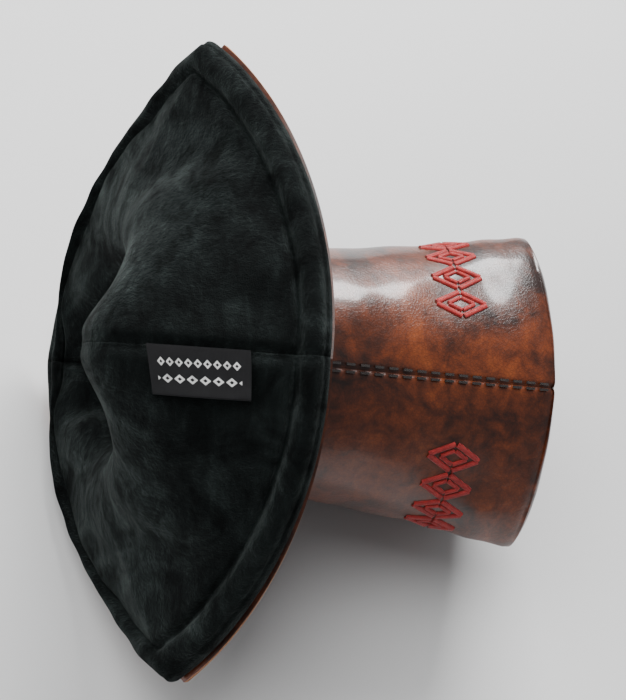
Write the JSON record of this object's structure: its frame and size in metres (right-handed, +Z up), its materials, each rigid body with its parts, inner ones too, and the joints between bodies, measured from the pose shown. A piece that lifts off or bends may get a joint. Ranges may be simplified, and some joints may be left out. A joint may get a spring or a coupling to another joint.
{
  "type": "putter head cover",
  "caption": "Padded leather head cover for a putter: a plush lined pouch with a flared mouth and two wings that fold together round the shaft.",
  "frame": {"origin": "middle of the box's bottom face, on the surface the cover lies on", "axes": "+X along the pouch towards its toe end, +Z up from the surface, +Y towards the upper wing"},
  "size_m": [0.1274, 0.1348, 0.0931],
  "materials": {
    "leather": "glazed, antiqued",
    "foam": "soft foam",
    "plush": "short pile plush",
    "gold_thread": "polyester thread",
    "ridge_thread": "polyester thread",
    "red_thread": "rayon embroidery thread",
    "magnet_steel": "nickel plated",
    "label_tape": "woven satin"
  },
  "bodies": {
    "cover": {"upper_side_panel": "leather", "lower_side_panel": "leather", "upper_side_padding": "foam", "lower_side_padding": "foam", "upper_side_lining": "plush", "lower_side_lining": "plush", "upper_collar_roll": "plush", "lower_collar_roll": "plush", "ridge_stitching": "ridge_thread", "sole_stitching": "ridge_thread", "collar_stitching": "gold_thread", "upper_embroidery": "red_thread", "lower_embroidery": "red_thread"},
    "upper_wing": {"upper_wing_panel": "leather", "upper_wing_padding": "foam", "upper_wing_lining": "plush", "upper_wing_roll": "plush", "upper_wing_magnets": "magnet_steel", "upper_wing_stitching": "gold_thread"},
    "lower_wing": {"lower_wing_panel": "leather", "lower_wing_padding": "foam", "lower_wing_lining": "plush", "lower_wing_roll": "plush", "lower_wing_magnets": "magnet_steel", "lower_wing_stitching": "gold_thread"},
    "label": {"woven_label": "label_tape"}
  },
  "joints": [
    {"name": "upper_wing_fold", "type": "hinge", "parent": "cover", "child": "upper_wing", "pos_m": [-0.06425, 0.0309, 0.06116], "axis": [0.6677, -0.3157, 0.6742], "range_deg": [0, 90]},
    {"name": "lower_wing_fold", "type": "hinge", "parent": "cover", "child": "lower_wing", "pos_m": [-0.06469, -0.02541, 0.03523], "axis": [-0.6677, 0.3157, -0.6742], "range_deg": [0, 90]},
    {"name": "label_flip", "type": "hinge", "parent": "cover", "child": "label", "pos_m": [-0.05533, -0.00993, 0.07605], "axis": [-0.9695, 0.1088, -0.2197], "range_deg": [0, 120]}
  ]
}
